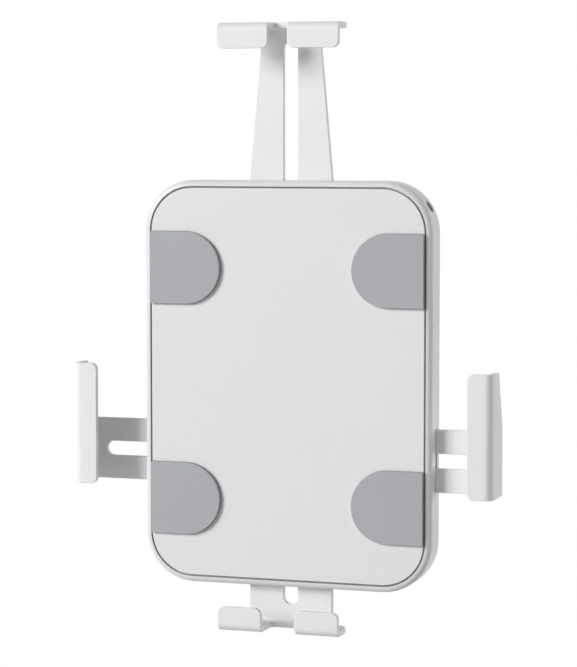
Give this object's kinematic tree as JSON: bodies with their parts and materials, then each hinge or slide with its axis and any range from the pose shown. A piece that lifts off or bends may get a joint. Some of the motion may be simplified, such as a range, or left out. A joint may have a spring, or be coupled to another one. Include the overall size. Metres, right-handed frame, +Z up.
{
  "type": "tablet wall mount",
  "caption": "Lockable wall mount for tablets: slim white housing with grey grip pads, sliding sheet-steel arms with hooked ends and a corner lock, hung on a folded wall bracket.",
  "frame": {"origin": "on the wall plane, at the back face of the wall bracket, behind the middle of the housing", "axes": "+Z up along the mount's length, +Y into the wall, so the front faces -Y, +X to the viewer's right when looking at the front"},
  "size_m": [0.1886, 0.0277, 0.2616],
  "materials": {
    "arm_steel": "white satin powder coat",
    "bracket_steel": "white satin powder coat",
    "shell_plastic": "white, semi-gloss",
    "cover_plastic": "light grey-white, fine matt grain",
    "pad_rubber": "mid grey, matt, soft",
    "screw_steel": "zinc plated"
  },
  "bodies": {
    "housing": {"wall_bracket": "bracket_steel", "rear_shell": "shell_plastic", "front_frame": "shell_plastic", "front_cover": "cover_plastic", "upper_left_pad": "pad_rubber", "upper_right_pad": "pad_rubber", "lower_left_pad": "pad_rubber", "lower_right_pad": "pad_rubber", "top_clamp_screw": "screw_steel", "bottom_clamp_screw": "screw_steel", "left_clamp_screw": "screw_steel", "right_clamp_screw": "screw_steel", "top_clamp_plate": "screw_steel", "bottom_clamp_plate": "screw_steel", "left_clamp_plate": "screw_steel", "right_clamp_plate": "screw_steel", "lock_screw": "screw_steel", "lock_block": "screw_steel", "shell_screws": "screw_steel"},
    "top_arm": {"top_arm": "arm_steel"},
    "bottom_arm": {"bottom_arm": "arm_steel"},
    "left_arm": {"left_arm": "arm_steel"},
    "right_arm": {"right_arm": "arm_steel"}
  },
  "joints": [
    {"name": "top_arm_slide", "type": "slide", "parent": "housing", "child": "top_arm", "axis": [0, 0, -1], "range_m": [0, 0.06]},
    {"name": "bottom_arm_slide", "type": "slide", "parent": "housing", "child": "bottom_arm", "axis": [0, 0, 1], "range_m": [0, 0.014]},
    {"name": "left_arm_slide", "type": "slide", "parent": "housing", "child": "left_arm", "axis": [1, 0, 0], "range_m": [0, 0.024]},
    {"name": "right_arm_slide", "type": "slide", "parent": "housing", "child": "right_arm", "axis": [-1, 0, 0], "range_m": [0, 0.024]}
  ]
}
